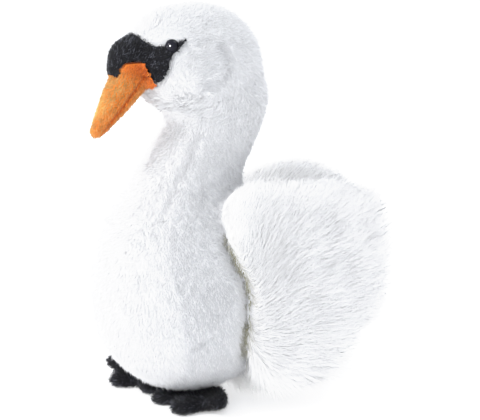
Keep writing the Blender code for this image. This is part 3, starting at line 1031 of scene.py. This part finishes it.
class SWAN_OT_dark_coats(bpy.types.Operator):
    """Grows the black bristles of mask and feet and the orange nap of the bill."""

    bl_idname = "swan.dark_coats"
    bl_label = "Mask, bill and feet coats"

    def execute(self, context):
        s, c = sizes(), colours()
        body = tree_of(bpy.data.objects["body_skin"])
        # Roots at four tenths of the black: painted shade between the bristles.
        dark = tuple(0.4 * value for value in c.black)
        # The lighter blue-grey on high-tone bristles is a painted highlight on the fibres.
        look = {"roughness": 0.5, "sheen": 0.04, "mottle": 0.4, "gloss": 0.24, "painted_glint": (0.10, 0.105, 0.128)}
        black = material_once("black_bristle", pile_material, dark, c.black, **look)
        look = {"roughness": 0.8, "sheen": 0.1, "mottle": 0.27, "gloss": 0.15}
        # Painted shade in deep red-orange along mouth and root, and a painted highlight in pale orange along
        # the ridge.
        painted_shade_and_highlight = {"deep": (0.78, 0.11, 0.015), "pale": (0.99, 0.56, 0.18)}
        orange = material_once("orange_nap", pile_material, c.orange_root, c.orange, **look, **painted_shade_and_highlight)
        foot_pile = s.black_pile * 1.35
        bill_pile = s.orange_pile * 1.2
        # Piece, slot, finish, length, lie (none: outwards from the heel), spacing and width in
        # millimetres, rise in degrees, and seed.
        rows = (
            ("mask", "black_pile", black, s.black_pile, (0.0, 0.8, 0.45), 0.75, 0.62, 38, 31),
            ("foot_left", "black_pile", black, foot_pile, None, 0.85, 0.62, 50, 32),
            ("foot_right", "black_pile", black, foot_pile, None, 0.85, 0.62, 50, 33),
            ("bill", "orange_pile", orange, bill_pile, (0.0, -0.58, -0.81), 0.6, 0.58, 28, 34),
        )
        for name, slot, finish, length, lie, spacing, width, rise, seed in rows:
            skin = bpy.data.objects[f"{name}_skin"]
            co, normals = points_of(skin.data), normals_of(skin.data)
            if lie is None:
                low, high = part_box(name)
                heel = np.array(((low.x + high.x) / 2, high.y, high.z + 4 * MM))
                flow = co - heel
            else:
                flow = np.tile(np.array(lie), (len(co), 1))
            set_attribute(skin.data, "flow", along_surface(flow, normals))
            set_attribute(skin.data, "pile", np.ones(len(co)))
            # On the bill, painted shade and a painted highlight; none elsewhere.
            set_attribute(skin.data, "deep", bill_painted_light(co) if name == "bill" else np.zeros(len(co)))
            middles, facing = faces_of(skin.data)
            inside = covered(middles, facing, body, (6.0 if lie else 1.2) * MM, start=0.0)
            own = {"Spacing": spacing * MM, "Width": width * MM, "Rise": math.radians(rise)}
            values = {**FINE_PILE, **own, "Length": length, "Seed": seed}
            grown_coat(f"coat_{name}", skin, ~inside, finish, values)
        return {"FINISHED"}


# -------------------- stage
def soften_highlights(view):
    """Bends the brightest tones so that white plush keeps its form against the white ground."""
    view.use_curve_mapping = True
    mapping = view.curve_mapping
    mapping.use_clip = False
    brightest = 1.6
    mapping.white_level = (brightest, brightest, brightest)
    curve = mapping.curves[3]  # the one for all three colours
    bends = ((0.86, 0.86), (0.95, 0.92), (1.05, 0.945), (1.20, 0.965), (1.32, 0.985), (1.42, 1.03))
    curve.points[0].location = (0.0, 0.0)
    curve.points[1].location = (1.0, 1.05)
    for light, shown in bends:
        curve.points.new(light / brightest, shown)
    for point in curve.points:
        point.handle_type = "VECTOR"
    mapping.update()


def soft_light(name, place, aim, breadth, watts, colour):
    """A round area lamp at a place, turned to its aim."""
    light = bpy.data.lights.new(name, "AREA")
    light.shape = "DISK"
    light.size = breadth
    light.energy = watts
    light.color = colour
    lamp = linked(name, light)
    lamp.location = place
    lamp.rotation_euler = (aim - place).to_track_quat("-Z", "Y").to_euler()


class SWAN_OT_stage(bpy.types.Operator):
    """Sets the pale table, the soft lights and the camera."""

    bl_idname = "swan.stage"
    bl_label = "Stage"

    def execute(self, context):
        scene = context.scene
        view = scene.view_settings
        view.view_transform = "Standard"
        view.exposure = 0.04
        soften_highlights(view)
        middle = Vector(MIDDLE)
        # Level directions: from the swan towards the camera, and to the left as the camera sees it.
        near = Vector((math.sin(VIEW_TURN), -math.cos(VIEW_TURN), 0.0))
        left = Vector((-math.cos(VIEW_TURN), -math.sin(VIEW_TURN), 0.0))

        sweep = bmesh.new()
        bmesh.ops.create_grid(sweep, x_segments=1, y_segments=1, size=30.0)
        floor = built("table", sweep)
        paper, shader = new_material("pale_glowing_table", 0.9)
        shader.inputs["Base Color"].default_value = (0.93, 0.93, 0.935, 1.0)
        shader.inputs["Emission Color"].default_value = (1.0, 1.0, 1.0, 1.0)
        shader.inputs["Emission Strength"].default_value = 0.45
        floor.data.materials.append(paper)

        world = bpy.data.worlds.new("studio")
        world.use_nodes = True
        sky = world.node_tree.nodes["Background"]
        sky.inputs["Color"].default_value = (0.93, 0.955, 1.0, 1.0)
        sky.inputs["Strength"].default_value = 1.15
        scene.world = world

        # Lamp, how far left, near and up it stands, what it is turned to, breadth, watts and colour.
        for name, sideways, nearer, up, aim, breadth, watts, colour in (
            ("key", 1.1, 0.5, 0.9, middle, 0.38, 12.0, (1.0, 0.985, 0.97)),
            ("low", 1.2, 0.3, -0.04, middle, 1.0, 9.0, (1.0, 0.98, 0.97)),
            ("catch", 0.75, 1.3, 0.45, eye_middle("left"), 0.7, 260.0, (1.0, 1.0, 1.0)),
            ("top", -0.7, -0.35, 1.2, middle, 1.0, 8.0, (1.0, 1.0, 1.0)),
        ):
            place = middle + left * sideways + near * nearer + Vector((0, 0, up))
            soft_light(name, place, aim, breadth, watts, colour)
        # The catch light falls on the eyes alone.
        buttons = bpy.data.collections.new("buttons")
        for tag, _ in SIDES:
            buttons.objects.link(bpy.data.objects[f"eye_{tag}_button"])
        bpy.data.objects["catch"].light_linking.receiver_collection = buttons

        camera = bpy.data.cameras.new("camera")
        camera.sensor_width = 36.0
        camera.lens = 138.5
        camera.clip_end = 100.0
        viewer = linked("camera", camera)
        back = near * math.cos(VIEW_RISE) + Vector((0, 0, math.sin(VIEW_RISE)))
        viewer.location = Vector(VIEW_AIM) + back * VIEW_DISTANCE
        viewer.rotation_euler = (-back).to_track_quat("-Z", "Y").to_euler()
        scene.camera = viewer
        return {"FINISHED"}


# -------------------- panel, registration and the run
OPERATORS = (
    SWAN_OT_body_skin,
    SWAN_OT_face_skins,
    SWAN_OT_feet,
    SWAN_OT_eyes,
    SWAN_OT_white_coats,
    SWAN_OT_dark_coats,
    SWAN_OT_stage,
)


class SWAN_PT_workshop(bpy.types.Panel):
    """Lists the steps of making the swan, with its sizes and colours."""

    bl_idname = "SWAN_PT_workshop"
    bl_label = "Plush Swan"
    bl_space_type = "VIEW_3D"
    bl_region_type = "UI"
    bl_category = "Plush Swan"

    def draw(self, context):
        for group in (sizes(), colours()):
            for name in group.bl_rna.properties.keys():
                if name not in ("rna_type", "name"):
                    self.layout.prop(group, name)
        for operator in OPERATORS:
            self.layout.operator(operator.bl_idname)


CLASSES = (SwanSizes, SwanColours, *OPERATORS, SWAN_PT_workshop)


def register():
    for each in CLASSES:
        bpy.utils.register_class(each)
    bpy.types.Scene.swan_sizes = bpy.props.PointerProperty(type=SwanSizes)
    bpy.types.Scene.swan_colours = bpy.props.PointerProperty(type=SwanColours)


def unregister():
    del bpy.types.Scene.swan_colours
    del bpy.types.Scene.swan_sizes
    for each in reversed(CLASSES):
        bpy.utils.unregister_class(each)


def main():
    register()
    for operator in OPERATORS:
        family, name = operator.bl_idname.split(".")
        getattr(getattr(bpy.ops, family), name)()


if __name__ == "__main__":
    main()
